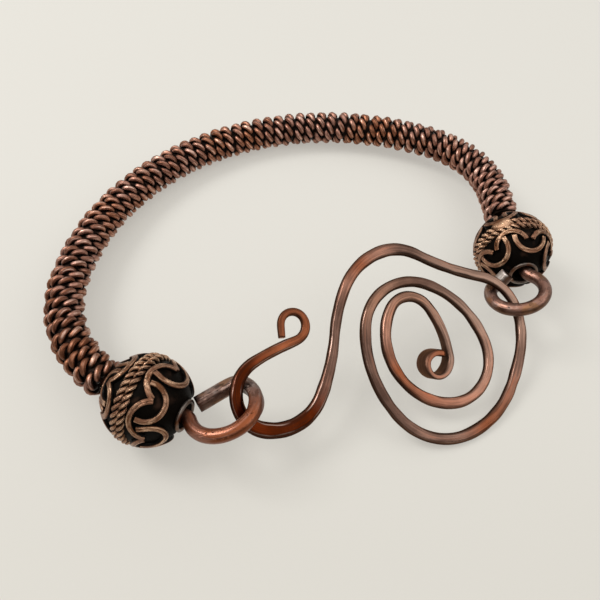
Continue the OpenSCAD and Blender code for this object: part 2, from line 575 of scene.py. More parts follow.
def input_label(name):
    return name.replace("_", " ").capitalize()


class NodeGraph(Graph):
    """A geometry node group with named inputs, used on an object and made a plain mesh."""

    KINDS = {float: "Float", int: "Int", bool: "Bool", tuple: "Vector", type(None): "Material"}

    def __init__(self, title, **inputs):
        super().__init__(bpy.data.node_groups.new(title, "GeometryNodeTree"))
        face = self.tree.interface
        face.new_socket("Geometry", in_out="INPUT", socket_type="NodeSocketGeometry")
        for name, default in inputs.items():
            kind = "NodeSocket" + self.KINDS[type(default)]
            socket = face.new_socket(input_label(name), in_out="INPUT", socket_type=kind)
            socket.default_value = default
        face.new_socket("Geometry", in_out="OUTPUT", socket_type="NodeSocketGeometry")
        self.entry = self.add("NodeGroupInput")

    def take(self, name):
        return self.entry.of(input_label(name))

    def store(self, geometry, name, value, kind="FLOAT"):
        """Keeps a value on the geometry's points as a mark."""
        sockets = {"Geometry": geometry, "Name": name, "Value": value}
        return self.add("GeometryNodeStoreNamedAttribute", {"data_type": kind}, sockets)

    def ring(self, sides, radius):
        """A wire's round outline, with the way out from its middle kept as a mark."""
        sockets = {"Resolution": sides, "Radius": radius}
        ring = self.add("GeometryNodeCurvePrimitiveCircle", {"mode": "RADIUS"}, sockets)
        outward = self.add("GeometryNodeInputPosition").math("NORMALIZE")
        return self.store(ring, "round", outward, "FLOAT_VECTOR")

    def tube(self, rail, ring):
        sockets = {"Curve": rail, "Profile Curve": ring, "Fill Caps": True}
        wire = self.add("GeometryNodeCurveToMesh", None, sockets)
        return self.add("GeometryNodeSetShadeSmooth", None, {0: wire})

    def close(self, geometry, material):
        """Ends the tree in Realize Instances and Set Material."""
        real = self.add("GeometryNodeRealizeInstances", None, {0: geometry})
        dressed = self.add("GeometryNodeSetMaterial", None, {"Geometry": real, "Material": material})
        self.add("NodeGroupOutput", None, {0: dressed})

    def run(self, mesh, **values):
        """The mesh that the group makes of another, with its inputs set by identifier."""
        host = linked(mesh.name, mesh)
        modifier = host.modifiers.new("Nodes", "NODES")
        modifier.node_group = self.tree
        sockets = {item.name: item for item in self.tree.interface.items_tree if item.in_out == "INPUT"}
        for name, value in values.items():
            modifier[sockets[input_label(name)].identifier] = value
        bpy.context.view_layer.update()
        graph = bpy.context.evaluated_depsgraph_get()
        made = bpy.data.meshes.new_from_object(host.evaluated_get(graph), depsgraph=graph)
        host.modifiers.clear()
        bpy.data.objects.remove(host)
        return made


def twisted_pair_nodes():
    """Strands twisted round each other along a path, and wound round it as a coil."""
    g = NodeGraph(
        "Twisted pair",
        start=0.0,
        length=0.1,
        stations=1000,
        sides=8,
        strand_thickness=0.001,
        pair_radius=0.0005,
        coil_radius=0.0,
        coil_turns=0.0,
        twists=10.0,
        phase=0.0,
        closed=False,
        unevenness=0.0,
        seed=0.0,
        plane_normal=(0.0, 0.0, 1.0),
        foot=0.0,
        crown=0.001,
        material=None,
    )
    take = g.take
    rail = g.add("GeometryNodeMeshToCurve", None, {0: take("geometry")})
    stations, length, turns = take("stations"), take("length"), take("coil_turns")
    share = g.add("GeometryNodeInputIndex") / (stations - 1 + take("closed"))

    def wander(waves, seed, most):
        """Hand-made wandering along the wire: about how many waves, which ones, how strong."""
        sockets = {"W": share * waves + take("seed") + seed, "Scale": 1.0, "Detail": 1.0}
        value = g.add("ShaderNodeTexNoise", {"noise_dimensions": "1D"}, sockets)
        return (value - 0.5) * take("unevenness") * most

    slip = wander(90.0, 3.0, 0.0009)
    sockets = {"Curves": rail, "Length": take("start") + share * length + slip}
    rail_at = g.add("GeometryNodeSampleCurve", {"mode": "LENGTH"}, sockets, out="Position")
    ahead, up = rail_at.of("Tangent"), take("plane_normal")
    across = ahead.math("CROSS_PRODUCT", up).math("NORMALIZE")
    angle = share * turns * TAU + take("phase")
    cosine, sine = angle.math("COSINE"), angle.math("SINE")
    radial = across * cosine + up * sine
    round_it = up * cosine - across * sine
    girth = take("coil_radius") * TAU * turns
    lean = (girth * girth + length * length).math("SQRT")
    sideways = ahead * (girth / lean) - round_it * (length / lean)
    both = g.tree.nodes.new("GeometryNodeJoinGeometry")
    for k in range(2):
        spin = share * take("twists") * TAU + k * math.pi + wander(60.0, 11.0, 1.3)
        offset = radial * spin.math("COSINE") + sideways * spin.math("SINE")
        lift = take("coil_radius") + wander(140.0, 23.0 + k, 0.00022)
        place = rail_at + radial * lift + offset * take("pair_radius")
        line = g.add("GeometryNodeMeshLine", None, {"Count": stations})
        line = g.add("GeometryNodeMeshToCurve", None, {0: line})
        line = g.add("GeometryNodeSetPosition", None, {"Geometry": line, "Position": place})
        sockets = {"Geometry": line, "Cyclic": take("closed")}
        line = g.add("GeometryNodeSetSplineCyclic", None, sockets)
        line = g.store(line, "rail", rail_at, "FLOAT_VECTOR")
        strand = g.store(line, "along", share * lean / MM)
        g.tree.links.new(strand.socket, both.inputs[0])
    ring = g.ring(take("sides"), take("strand_thickness") * 0.5)
    wire = g.tube(Value(g, both.outputs[0]), ring)
    # How far out from the path each point is, from foot to crown; the finishes paint shade low down
    # between the strands, with the oxide there
    rail_mark = g.add("GeometryNodeInputNamedAttribute", {"data_type": "FLOAT_VECTOR"}, {"Name": "rail"})
    away = g.add("GeometryNodeInputPosition") - rail_mark
    height = away.math("LENGTH").of("Value").between(take("foot"), take("crown"))
    wire = g.store(wire, "height", height)
    wire = g.add("GeometryNodeRemoveAttribute", None, {"Geometry": wire, "Name": "rail"})
    g.close(wire, take("material"))
    return g


def ball_wire_nodes():
    """Flat grooved wires laid along paths on a ball, with their tops facing out."""
    g = NodeGraph(
        "Wires on a ball",
        centre=(0.0, 0.0, 0.0),
        wire_width=0.00066,
        wire_height=0.0006,
        groove=0.00004,
        unevenness=0.0,
        material=None,
    )
    take = g.take
    rail = g.add("GeometryNodeMeshToCurve", None, {0: take("geometry")})
    here = g.add("GeometryNodeInputPosition")
    outward = (here - take("centre")).math("NORMALIZE")
    rail = g.add("GeometryNodeSetCurveNormal", {"mode": "FREE"}, {"Curve": rail, "Normal": outward})
    girth = 1 + (g.noise(here, 1100.0) - 0.5) * take("unevenness")
    rail = g.add("GeometryNodeSetCurveRadius", None, {"Curve": rail, "Radius": girth})
    gone = g.add("GeometryNodeSplineLength") * g.add("GeometryNodeSplineParameter")
    rail = g.store(rail, "along", gone / MM)
    ring = g.ring(SCROLL_SIDES, 1.0)
    # The height mark rises to the wire's top, a little more at its shoulders; the finish paints highlight
    # there and shade at the feet
    outer = g.split(here)
    side = outer.of("Y")
    edge = side.math("ABSOLUTE").between(0.25, 0.75)
    ring = g.store(ring, "height", outer.between(0.05, 0.95) * (0.75 + edge * 0.25))

    def squarer(value):
        """Pushes a circle's coordinate out toward a square's."""
        return value.math("SIGN") * value.math("ABSOLUTE") ** 0.72

    hollow = (1 - side * side).math("MAXIMUM", 0.0) ** 2 * take("groove") * outer.between(0.2, 0.9)
    tall = squarer(outer) * take("wire_height") * 0.5 - hollow
    shape = g.vector(tall, squarer(side) * take("wire_width") * 0.5, 0.0)
    ring = g.add("GeometryNodeSetPosition", None, {"Geometry": ring, "Position": shape})
    g.close(g.tube(rail, ring), take("material"))
    return g


# Materials


class Finish(Graph):
    """A surface: one Principled shader with the things that vary over it."""

    def __init__(self, name, look, constants=None):
        self.material = bpy.data.materials.new(name)
        self.material.use_nodes = True
        super().__init__(self.material.node_tree)
        self.look = look
        self.shader = self.tree.nodes["Principled BSDF"]
        self.fill(self.shader, constants)
        self.place = self.add("ShaderNodeTexCoord", out="Object")

    def tone(self, name):
        """One of the look's colours."""
        return (*getattr(self.look, name), 1.0)

    def mixed(self, share, low, high, blend="MIX"):
        """Two colours mixed by a share. A word names one of the look's colours."""
        low, high = (self.tone(c) if isinstance(c, str) else c for c in (low, high))
        return super().mixed(share, low, high, blend)

    def mark(self, name, out="Fac"):
        """What the piece's mesh carries under a name."""
        return self.add("ShaderNodeAttribute", {"attribute_name": name}, out=out)

    def clouds(self, size, detail=3.0):
        """Noise whose features are about a size in metres."""
        return self.noise(self.place, 1 / size, detail)

    def streaks(self, radius, width, length):
        """Drawn lines along a wire, all sizes in millimetres. The wire carries how far along
        it and which way round it each point is."""
        way = self.split(self.mark("round", "Vector"))
        far = self.mark("along") * (width / length)
        return self.noise(self.vector(far, way * radius, way.of("Y") * radius), 1 / width)

    def finish(self, colour, roughness, metallic, relief, depth):
        """Links what varies. Relief is in the unit of depth, metres."""
        sockets = {"Strength": 1.0, "Distance": depth, "Height": relief}
        varying = {
            "Base Color": colour,
            "Roughness": roughness,
            "Metallic": metallic,
            "Normal": self.add("ShaderNodeBump", None, sockets),
        }
        self.fill(self.shader, varying)
        return self.material


def coil_finish(look):
    """Oxidised copper strands, worn on their crowns and black between: oxide with painted shade in the
    crevices.
    """
    f = Finish("coil_patina", look, {"Specular IOR Level": 0.15})
    height, along = f.mark("height"), f.mark("along")
    blotches = f.clouds(0.0016)
    broad = f.clouds(0.009, 2.0)
    grain = f.clouds(0.00015, 2.0)
    lines = f.streaks(0.4, 0.28, 3.2)
    # Painted shade with the oxide: toward the rail, down between the strands, the colour goes to near
    # black
    rubbed_and_lit = (height + (blotches - 0.5) * 0.4 + (lines - 0.5) * 0.7).between(0.24, 0.68)
    warm = (broad + along.between(560, 760) * 0.25).between(0.38, 0.62)
    brown = f.mixed(warm, "coil_brown", "coil_pink")
    dusk = along.between(200, 20) * 0.35
    deep = (lines.between(0.44, 0.62) * 0.8 + dusk).math("MINIMUM", 1.0)
    brown = f.mixed(deep, brown, "coil_deep")
    colour = f.mixed(rubbed_and_lit, "coil_crevice", brown)
    bright = (height + (0.5 - lines) * 2.5 + (blotches - 0.5)).between(1.0, 1.3)
    colour = f.mixed(bright * 0.4, colour, "coil_worn")
    roughness = 0.48 - rubbed_and_lit * 0.04 + (blotches - 0.5) * 0.2 - bright * 0.1
    relief = grain + blotches * 3 + lines * 4
    return f.finish(colour, roughness, rubbed_and_lit * 0.2 + 0.75, relief, 0.00004)


def bead_body_finish(look):
    """Blackened metal, nearly matt, brown where a smooth patch is worn through."""
    f = Finish("bead_black", look, {"Specular IOR Level": 0.03})
    blotches = f.clouds(0.0018)
    broad = f.clouds(0.004, 2.0)
    grain = f.clouds(0.00015, 3.0)
    smoky = blotches.between(0.52, 0.75) * broad.between(0.42, 0.62)
    colour = f.mixed(smoky, "bead_black", "bead_smoke")
    patch = (f.mark("worn") + (blotches - 0.5) * 0.9).between(0.3, 0.7)
    brown = f.mixed(blotches.between(0.4, 0.8), "bead_brown", "bead_gold")
    colour = f.mixed(patch, colour, brown)
    roughness = 0.5 + (blotches - 0.5) * 0.4
    relief = grain + blotches * 3 + f.clouds(0.0006, 1.0) * patch * 5
    return f.finish(colour, roughness, patch * 0.85 + smoky * 0.5, relief, 0.00004)


def bead_wire_finish(look):
    """Antique brown wires, bright along their edges and dark at their feet: worn metal with painted
    highlight on top, oxide with painted shade below.
    """
    f = Finish("bead_wires", look, {"Specular IOR Level": 0.2})
    height = f.mark("height")
    blotches = f.clouds(0.0018)
    broad = f.clouds(0.004, 2.0)
    grain = f.clouds(0.00012, 2.0)
    pits = f.clouds(0.0004, 2.0).between(0.6, 0.7)
    lines = f.streaks(0.35, 0.14, 1.6)
    # Painted shade with the oxide takes the feet toward black; painted highlight on worn metal takes the
    # tops and shoulders toward gold
    raised = (height + (blotches - 0.5) * 0.6 - pits * 0.3).between(0.18, 0.62)
    rubbed_and_lit = (height + (blotches - 0.5) * 1.1 + (lines - 0.5) * 1.1).between(0.62, 1.02)
    colour = f.mixed(raised, "bead_black", "bead_brown")
    colour = f.mixed(rubbed_and_lit, colour, "bead_gold")
    colour = f.mixed(broad.between(0.42, 0.62) * 0.7, colour, "bead_rose")
    colour = f.mixed(1 - raised, colour, "bead_black")
    roughness = 0.4 - rubbed_and_lit * 0.18 + (blotches - 0.5) * 0.25
    relief = grain + blotches * 5 + lines * 4 - pits * 3
    return f.finish(colour, roughness, raised * 0.45 + 0.5, relief, 0.00005)


def collar_finish(look):
    """Smooth dark steel-grey rings round the holes."""
    f = Finish("bead_collars", look)
    blotches = f.clouds(0.0015)
    grain = f.clouds(0.0001, 2.0)
    colour = f.mixed(blotches.between(0.4, 0.7), "collar", "bead_brown")
    return f.finish(colour, 0.24 + blotches * 0.2, 0.95, grain + blotches * 2, 0.00003)


def core_finish(look):
    """Red copper on the front of the eyes, dulled toward the cut ends."""
    f = Finish("core_copper", look)
    tone, top, pale, cut = (f.mark(name) for name in ("tone", "top", "pale", "cut"))
    blotches = f.clouds(0.0016, 2.0)
    broad = f.clouds(0.004, 2.0)
    grain = f.clouds(0.00015, 2.0)
    lines = f.streaks(0.95, 0.4, 6.0)
    pits = f.clouds(0.0005, 2.0).between(0.62, 0.75)
    dull = (tone + (broad - 0.5) * 0.3).between(0.1, 0.9)
    side = 1 - top.math("ABSOLUTE")
    copper = f.mixed((lines + broad - 0.5).between(0.4, 0.65), "core_red", "core_rose")
    colour = f.mixed(dull, copper, "core_dull")
    bare = (blotches - lines).between(0.0, 0.2) * dull
    colour = f.mixed(bare * 0.4, colour, "core_pale")
    amber = f.clouds(0.003, 1.0).between(0.52, 0.6) * tone.between(0.3, 0.5)
    colour = f.mixed(amber * (1 - bare) * 0.6, colour, "core_amber")
    stain = (lines + f.clouds(0.0009, 2.0)).between(1.0, 1.12) * dull
    colour = f.mixed(stain * 0.65, colour, "coil_crevice")
    colour = f.mixed(pits * dull * 0.8, colour, "coil_crevice")
    colour = f.mixed(side.between(0.2, 0.75) * (dull * 0.5 + 0.35), colour, "core_edge")
    # Painted highlight on the top face of the right eye's flattened end
    colour = f.mixed(pale * top.between(0.3, 0.8) * 0.8, colour, "core_pale")
    colour = f.mixed(cut * (0.5 + blotches * 0.6), colour, "core_edge")
    roughness = 0.34 + dull * 0.04 + (blotches - 0.5) * 0.16
    relief = grain + lines * 3 + blotches * 2 - pits * 3
    return f.finish(colour, roughness, 0.96, relief, 0.00003)


def clasp_finish(look):
    """Hammered wire: flats of several reds and browns, a painted highlight along the rims, and dark
    sides.
    """
    f = Finish("clasp_copper", look, {"Specular Tint": (1.0, 0.72, 0.58, 1.0)})
    along, flat = f.mark("along"), f.mark("flat")
    stops = [(share, f.tone("clasp_" + name)) for share, name in CLASP_TONES]
    part = along / CLASP_LENGTH
    colour = f.add("ShaderNodeValToRGB", {"stops": stops}, {0: part})
    blotches = f.clouds(0.0018, 2.0)
    broad = f.clouds(0.005, 2.0)
    grain = f.clouds(0.00015, 2.0)
    lines = f.streaks(0.8, 0.32, 8.0)
    fine = f.streaks(0.8, 0.16, 5.0)
    dim = (lines + (broad - 0.5) * 0.8).between(0.56, 0.36)
    colour = f.mixed(dim * 0.42, colour, "clasp_side")
    light = (lines + fine + (broad - 0.5)).between(1.1, 1.4)
    colour = f.mixed(light * 0.8, colour, "clasp_rim", "SOFT_LIGHT")
    # Painted highlight: a light line along the rims where the flats meet the bevels, weaker after the
    # S-arm
    rim = flat.between(0.83, 0.92) * (1 - flat.between(0.95, 0.99))
    later = part.between(0.24, 0.34)
    edge = rim * broad.between(0.42, 0.6) * (1 - later * 0.75)
    bevel = 1 - flat.between(0.78, 0.95)
    colour = f.mixed(bevel * (0.4 + later * 0.35), colour, "clasp_bevel")
    heart = CLASP_LENGTH - HEART
    standing = along.between(heart, heart + HEART_LEAN_OVER)
    sunk = (1 - flat.between(0.35, 0.82)) * (1 - standing * 0.7)
    colour = f.mixed(sunk, colour, "clasp_side")
    colour = f.mixed(edge * 0.5, colour, "clasp_rim")
    roughness = 0.3 + (blotches - 0.5) * 0.25 + bevel * 0.15
    return f.finish(colour, roughness, 0.96, grain * 0.4 + blotches * 5 + lines * 2, 0.00002)


def floor_finish(look):
    """Pale matt table that glows a little, so that shadows on it stay light, with painted shade toward
    its front.
    """
    f = Finish("table", look, {"Emission Color": (*look.glow, 1.0), "Emission Strength": 1.0})
    # Painted shade: the table darkens toward its front, in broad patches
    near = f.toward_front(f.place).between(-0.03, 0.07)
    painted_shade = (near + f.clouds(0.35, 2.0) * 0.3).math("MINIMUM", 1.0)
    shade = f.mixed(painted_shade, "floor", "floor_shade")
    return f.finish(shade, 0.7, 0.0, f.clouds(0.0006, 2.0), 0.00001)


# Settings


def amount(name, description, default, **limits):
    return bpy.props.FloatProperty(name=name, description=description, default=default, **limits)


def size(name, description, millimetres):
    return amount(name, description, millimetres * MM, min=0.0, precision=5, unit="LENGTH")


def angle(name, description, degrees):
    return amount(name, description, math.radians(degrees), subtype="ANGLE")


def tint(name, description, colour):
    return bpy.props.FloatVectorProperty(
        name=name,
        description=description,
        default=colour,
        min=0.0,
        max=1.0,
        size=3,
        subtype="COLOR",
    )


class BraceletSizes(bpy.types.PropertyGroup):
    strand: size("Coil strand", "Thickness of one strand of the coil", 0.85)
    pair: size("Coil pair", "From the middle of the pair to its strands' middles", 0.5)
    coil_radius: size("Coil radius", "Middle of the twisted pair round the core", 1.96)
    # The inner tube stands for painted shade and oxide seen through the coil's gaps
    coil_inside: size("Coil inside", "Radius of the dark tube under the pair, painted shade and oxide in its gaps", 1.9)
    coil_turns: amount("Coil turns", "Turns of the pair round the core", 63.0, min=1.0)
    twists: amount("Twists a turn", "Twists of the pair in each turn", -4.375)
    unevenness: amount("Unevenness", "Hand-made wandering of the coil", 0.65, min=0.0)
    core: size("Core wire", "Thickness of the core wire", 1.9)
    bead: size("Bead", "Diameter of a bead's body", 11.0)
    rope: size("Rope strand", "Thickness of one strand of a bead's rope", 0.52)
    scroll_width: size("Scroll width", "Width of the scroll wires", 0.78)
    scroll_height: size("Scroll height", "Height of the scroll wires", 0.74)
    collar: size("Collar", "Radius of the ring round a bead's hole", 1.95)


class BraceletLook(bpy.types.PropertyGroup):
    coil_brown: tint("Coil brown", "Rubbed copper of the coil", (0.40, 0.168, 0.092))
    coil_pink: tint("Coil pink", "Paler patches of the coil", (0.42, 0.225, 0.172))
    coil_deep: tint("Coil deep", "Tarnished streaks of the coil", (0.17, 0.065, 0.034))
    coil_worn: tint("Coil worn", "Brightest crowns of the coil", (0.85, 0.60, 0.48))
    # Near black of the crevices is oxide with painted shade; the eyes' stains and pits use it too
    coil_crevice: tint("Crevice", "Oxide and painted shade between the wires, also the eyes' stains and pits", (0.012, 0.006, 0.004))
    bead_black: tint("Bead black", "Ground of the beads", (0.003, 0.002, 0.0012))
    bead_smoke: tint("Bead smoke", "Smoky patches of the ground", (0.04, 0.02, 0.013))
    bead_brown: tint("Bead brown", "Sides of the bead's wires", (0.16, 0.066, 0.03))
    # Gold on the wires' tops is worn metal with painted highlight
    bead_gold: tint("Bead gold", "Worn edges of the bead's wires with painted highlight, and lighter parts of the worn patch", (0.66, 0.41, 0.26))
    bead_rose: tint("Bead rose", "Redder stretches of the bead's wires", (0.27, 0.13, 0.08))
    collar: tint("Collar", "Rings round the beads' holes", (0.17, 0.14, 0.12))
    core_red: tint("Core red", "Bare copper of the eyes", (0.27, 0.08, 0.032))
    core_rose: tint("Core rose", "Paler copper of the eyes", (0.34, 0.15, 0.10))
    core_dull: tint("Core dull", "Tarnished ends of the eyes", (0.31, 0.19, 0.15))
    core_amber: tint("Core amber", "Golden brown patches of the eyes", (0.34, 0.165, 0.07))
    # Also the painted highlight on the top of the right eye's end
    core_pale: tint("Core pale", "Bare spots of the eyes, and painted highlight on the right eye's end", (0.55, 0.50, 0.46))
    core_edge: tint("Core edge", "Darker sides of the eyes", (0.05, 0.02, 0.012))
    clasp_red: tint("Clasp red", "Redder stretches", (0.21, 0.064, 0.027))
    clasp_deep: tint("Clasp deep", "Dark red of the hook", (0.07, 0.011, 0.0015))
    clasp_brown: tint("Clasp brown", "Middle of the clasp", (0.235, 0.122, 0.08))
    clasp_pink: tint("Clasp pink", "Paler stretches", (0.32, 0.155, 0.105))
    clasp_smoke: tint("Clasp smoke", "Darkest stretches", (0.12, 0.066, 0.048))
    clasp_grey: tint("Clasp grey", "Greyish stretches", (0.25, 0.155, 0.115))
    clasp_dusk: tint("Clasp dusk", "Duller stretches", (0.19, 0.105, 0.076))
    clasp_bevel: tint("Clasp bevel", "Bevels of the clasp wire", (0.085, 0.045, 0.03))
    clasp_side: tint("Clasp side", "Dark sides of the clasp wire", (0.020, 0.009, 0.006))
    # Clasp rim serves the lighter streaks and the painted highlight on the rims
    clasp_rim: tint("Clasp rim", "Lighter streaks, and painted highlight on the clasp wire's rims", (0.66, 0.48, 0.40))
    floor: tint("Table", "Colour of the table", (0.30, 0.292, 0.268))
    glow: tint("Table glow", "Light that the table gives off", (0.40, 0.385, 0.352))
    # Painted shade on the table
    floor_shade: tint("Table shade", "Painted shade on the table toward its front", (0.255, 0.245, 0.22))


class BraceletStage(bpy.types.PropertyGroup):
    heading: angle("Heading", "Where the camera looks, from +Y toward +X", 32.903)
    down: angle("Down", "How far below level the camera looks", 53.422)
    roll: angle("Roll", "Turn of the camera about its own line of sight", 6.131)
    place: bpy.props.FloatVectorProperty(
        name="Camera place",
        description="Where the camera stands",
        default=(-0.036191, -0.054689, 0.081796),
        size=3,
        subtype="TRANSLATION",
    )
    key: amount("Key light", "Power of the main soft light", 2.3, unit="POWER")
    sky: amount("Room light", "Strength of the light all round", 0.78)


# Pieces


def ending(at, end, over):
    """1 along a wire until it fades to 0 at its end."""
    return np.clip((end - at) / over, 0, 1)


def oblong(points):
    """Unit outline of a hammered wire's section: corners at 1, with steep bevels between a flat
    top and foot. Rows of x, y, how far into the corner on x and on y, and 1 on a flat."""
    rows = []
    for cx, cy, start in ((1, 1, 0), (-1, 1, 90), (-1, -1, 180), (1, -1, 270)):
        for i in range(points):
            corner = math.radians(start + 90 * i / (points - 1))
            c, s = math.cos(corner), math.sin(corner)
            rows.append((cx, cy, cx * abs(c) ** 1.4, cy * abs(s) ** 1.4, abs(s)))
        if cx == cy:
            rows += [(part * cx, cy, 0, cy, 1) for part in (0.5, 0, -0.5)]
        else:
            rows += [(cx, part * cy, cx, 0, 0) for part in (0.3, -0.3)]
    return np.array(rows, float)


class BRACELET_OT_core(bpy.types.Operator):
    """Core wire with its two eyes"""

    bl_idname = "bracelet.core"
    bl_label = "Core wire"

    def eye(self, matrix, spec):
        """Points of an eye from its bend outward, in ring millimetres, and its plane's normal."""
        lie = matrix @ shifted(LEAD, 0, 0) @ turned("Y", -spec["rise"]) @ turned("X", spec["roll"])
        radius, aim, side, sweep = (spec[key] for key in ("radius", "aim", "side", "sweep"))
        steps = int(math.radians(sweep) * radius / CORE_SPACING)
        angles = np.radians(aim + 180 + side * sweep * np.arange(steps + 1) / steps)
        flat = np.stack([np.cos(angles), np.sin(angles), 0 * angles], -1) * radius
        flat[:, :2] += radius * np.array([math.cos(math.radians(aim)), math.sin(math.radians(aim))])
        turn, length, climb = spec["tail"]
        climb = math.radians(climb)
        # The first run only says where the rise starts, and its three stations are left out
        runs = (
            (0.0, 0.0, 0.0),
            (math.radians(turn) * TAIL_BEND, side * turn, 0.0),
            (length * math.cos(climb), 0.0, length * math.sin(climb)),
        )
        heading = aim + 180 + side * (sweep + 90)
        tail = walk(runs, (*flat[-1, :2], heading), CORE_SPACING)[3:]
        flat = np.concatenate([flat, tail[:, [0, 1, 4]]])
        return carried(lie, flat), facing(lie)

    def execute(self, context):
        sizes = context.scene.bracelet_sizes
        _, route = ring_route(CORE_SPACING)
        ring_up = facing(on_ring())
        lead = np.arange(CORE_SPACING, LEAD - 0.05, CORE_SPACING)[:, None] * [1.0, 0, 0]
        left, left_up = self.eye(at_left(), EYE_LEFT)
        right, right_up = self.eye(at_right(1), EYE_RIGHT)
        parts = (
            (left[::-1], left_up),
            (carried(at_left(), lead)[::-1], ring_up),
            (route, ring_up),
            (carried(at_right(1), lead), ring_up),
            (right, right_up),
        )
        centres = softened(np.concatenate([points for points, _ in parts]), 2.5)
        ups = np.concatenate([np.tile(up, (len(points), 1)) for points, up in parts])
        sides, ups = squared_to(softened(ups, 8), directions(centres))
        gone = gone_along(centres)
        back = gone[-1] - gone
        # The rear of the left eye is beaten square, and the right eye's end a little
        beaten = ending(gone, 12.5, 4) + 0.45 * ending(back, 5.0, 3)
        power = 2 + 4.5 * beaten[:, None]
        angles = full_turn(CORE_SIDES) + math.radians(9)
        radius = sizes.core / MM / 2 * (1 + 0.012 * waver(gone, 2.2, 1))
        spread = np.abs(np.cos(angles)) ** power + np.abs(np.sin(angles)) ** power
        reach = radius[:, None] * (1 - 0.09 * beaten[:, None]) / spread ** (1 / power)
        # Tarnished toward the left end, less so on the whole right eye, and more at its end
        tone = ending(gone, 14.5, 7) + np.where(back < 40, 0.55, 0) + 0.35 * ending(back, 7, 5)
        marks = {
            "top": np.sin(angles),
            "tone": tone[:, None],
            # The right eye's last few millimetres, whose top face gets a painted highlight
            "pale": ending(back, 3.4, 0.8)[:, None],
            "cut": ending(gone, 0.75, 0.5)[:, None],
        }
        outlines = round_outlines(reach, angles)
        copper = core_finish(context.scene.bracelet_look)
        mesh = swept("core_wire_made", centres, sides, ups, outlines, marks, copper)
        placed("core_wire_made", [mesh], "core_wire")
        return {"FINISHED"}


class BRACELET_OT_coil(bpy.types.Operator):
    """Coil of a twisted pair wound round the core wire"""

    bl_idname = "bracelet.coil"
    bl_label = "Coil"

    def execute(self, context):
        sizes = context.scene.bracelet_sizes
        patina = coil_finish(context.scene.bracelet_look)
        gone, route = ring_route(COIL_SPACING)
        ring_up = facing(on_ring())
        twists = sizes.twists * sizes.coil_turns
        made = twisted_pair_nodes().run(
            chain_mesh("wire_coil_made", [route * MM]),
            start=COIL_FROM * MM,
            length=(COIL_TO - COIL_FROM) * MM,
            stations=int(abs(twists) * COIL_STATIONS),
            sides=STRAND_SIDES,
            strand_thickness=sizes.strand,
            pair_radius=sizes.pair,
            coil_radius=sizes.coil_radius,
            coil_turns=sizes.coil_turns,
            twists=twists,
            phase=0.4,
            unevenness=sizes.unevenness,
            seed=5.0,
            plane_normal=ring_up,
            foot=sizes.coil_radius,
            crown=sizes.coil_radius + sizes.pair + sizes.strand / 2,
            material=patina,
        )
        # The inner tube is near black, with the crevice colour all over: painted shade and oxide seen
        # through the gaps between the strands
        inside = (gone > COIL_FROM + INSIDE_SHORTER) & (gone < COIL_TO - INSIDE_SHORTER)
        along = directions(route)[inside]
        sides, ups = squared_to(np.tile(ring_up, (len(along), 1)), along)
        ridges = 1 + 0.03 * np.sin(gone[inside] * TAU)[:, None]
        outlines = round_outlines(sizes.coil_inside / MM * ridges, full_turn(TUBE_SIDES))
        marks = {"height": 0.0}
        tube = swept("wire_coil_inside", route[inside], sides, ups, outlines, marks, patina)
        placed("wire_coil_made", [made, tube], "wire_coil")
        return {"FINISHED"}


